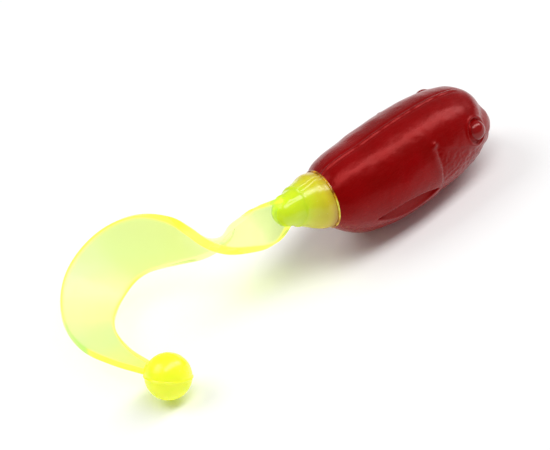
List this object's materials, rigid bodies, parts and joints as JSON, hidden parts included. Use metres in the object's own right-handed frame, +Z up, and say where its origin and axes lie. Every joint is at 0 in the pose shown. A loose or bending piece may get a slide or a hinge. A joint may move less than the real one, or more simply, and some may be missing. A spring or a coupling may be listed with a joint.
{
  "type": "soft plastic tadpole lure",
  "caption": "Soft plastic tadpole lure with a stout red body, a translucent neck, a twisted bending ribbon tail and a ball at its tip.",
  "frame": {"origin": "hook entry point, on the middle of the nose's flat front", "axes": "+X out of the nose, +Y to the lure's left, +Z up through its back"},
  "size_m": [0.0693, 0.0293, 0.0145],
  "materials": {
    "red_plastic": "glossy soft dark red plastic",
    "chartreuse_plastic": "translucent glossy soft chartreuse plastic"
  },
  "bodies": {
    "body_and_neck": {"body": "red_plastic", "neck_core": "chartreuse_plastic"},
    "tail_1": {"tail_1": "chartreuse_plastic"},
    "tail_2": {"tail_2": "chartreuse_plastic"},
    "tail_3": {"tail_3": "chartreuse_plastic"},
    "tail_4": {"tail_4": "chartreuse_plastic"},
    "tail_5": {"tail_5": "chartreuse_plastic"},
    "tail_ball": {"tail_ball": "chartreuse_plastic"}
  },
  "joints": [
    {"name": "tail_root_bend", "type": "hinge", "parent": "body_and_neck", "child": "tail_1", "pos_m": [-0.04029, 0.0005, 0.00567], "axis": [0.0148, 0.5211, 0.8534], "range_deg": [-35, 35], "stiffness_Nm_per_rad": 0.003},
    {"name": "tail_bend_2", "type": "hinge", "parent": "tail_1", "child": "tail_2", "pos_m": [-0.04679, 0.0055, 0.00367], "axis": [0.715, 0.2777, -0.6416], "range_deg": [-30, 30], "stiffness_Nm_per_rad": 0.003},
    {"name": "tail_bend_3", "type": "hinge", "parent": "tail_2", "child": "tail_3", "pos_m": [-0.05179, 0.016, 0.00127], "axis": [-0.1748, -0.5393, -0.8238], "range_deg": [-30, 30], "stiffness_Nm_per_rad": 0.002},
    {"name": "tail_bend_4", "type": "hinge", "parent": "tail_3", "child": "tail_4", "pos_m": [-0.05979, 0.0174, -0.00193], "axis": [0.4543, -0.7678, -0.4517], "range_deg": [-30, 30], "stiffness_Nm_per_rad": 0.0015},
    {"name": "tail_bend_5", "type": "hinge", "parent": "tail_4", "child": "tail_5", "pos_m": [-0.06629, 0.01, -0.00313], "axis": [0.9528, -0.3037, 0], "range_deg": [-30, 30], "stiffness_Nm_per_rad": 0.0008},
    {"name": "ball_bend", "type": "hinge", "parent": "tail_5", "child": "tail_ball", "pos_m": [-0.06659, 0, -0.00253], "axis": [0.9958, 0.0911, 0], "range_deg": [-35, 35], "stiffness_Nm_per_rad": 0.0004}
  ]
}
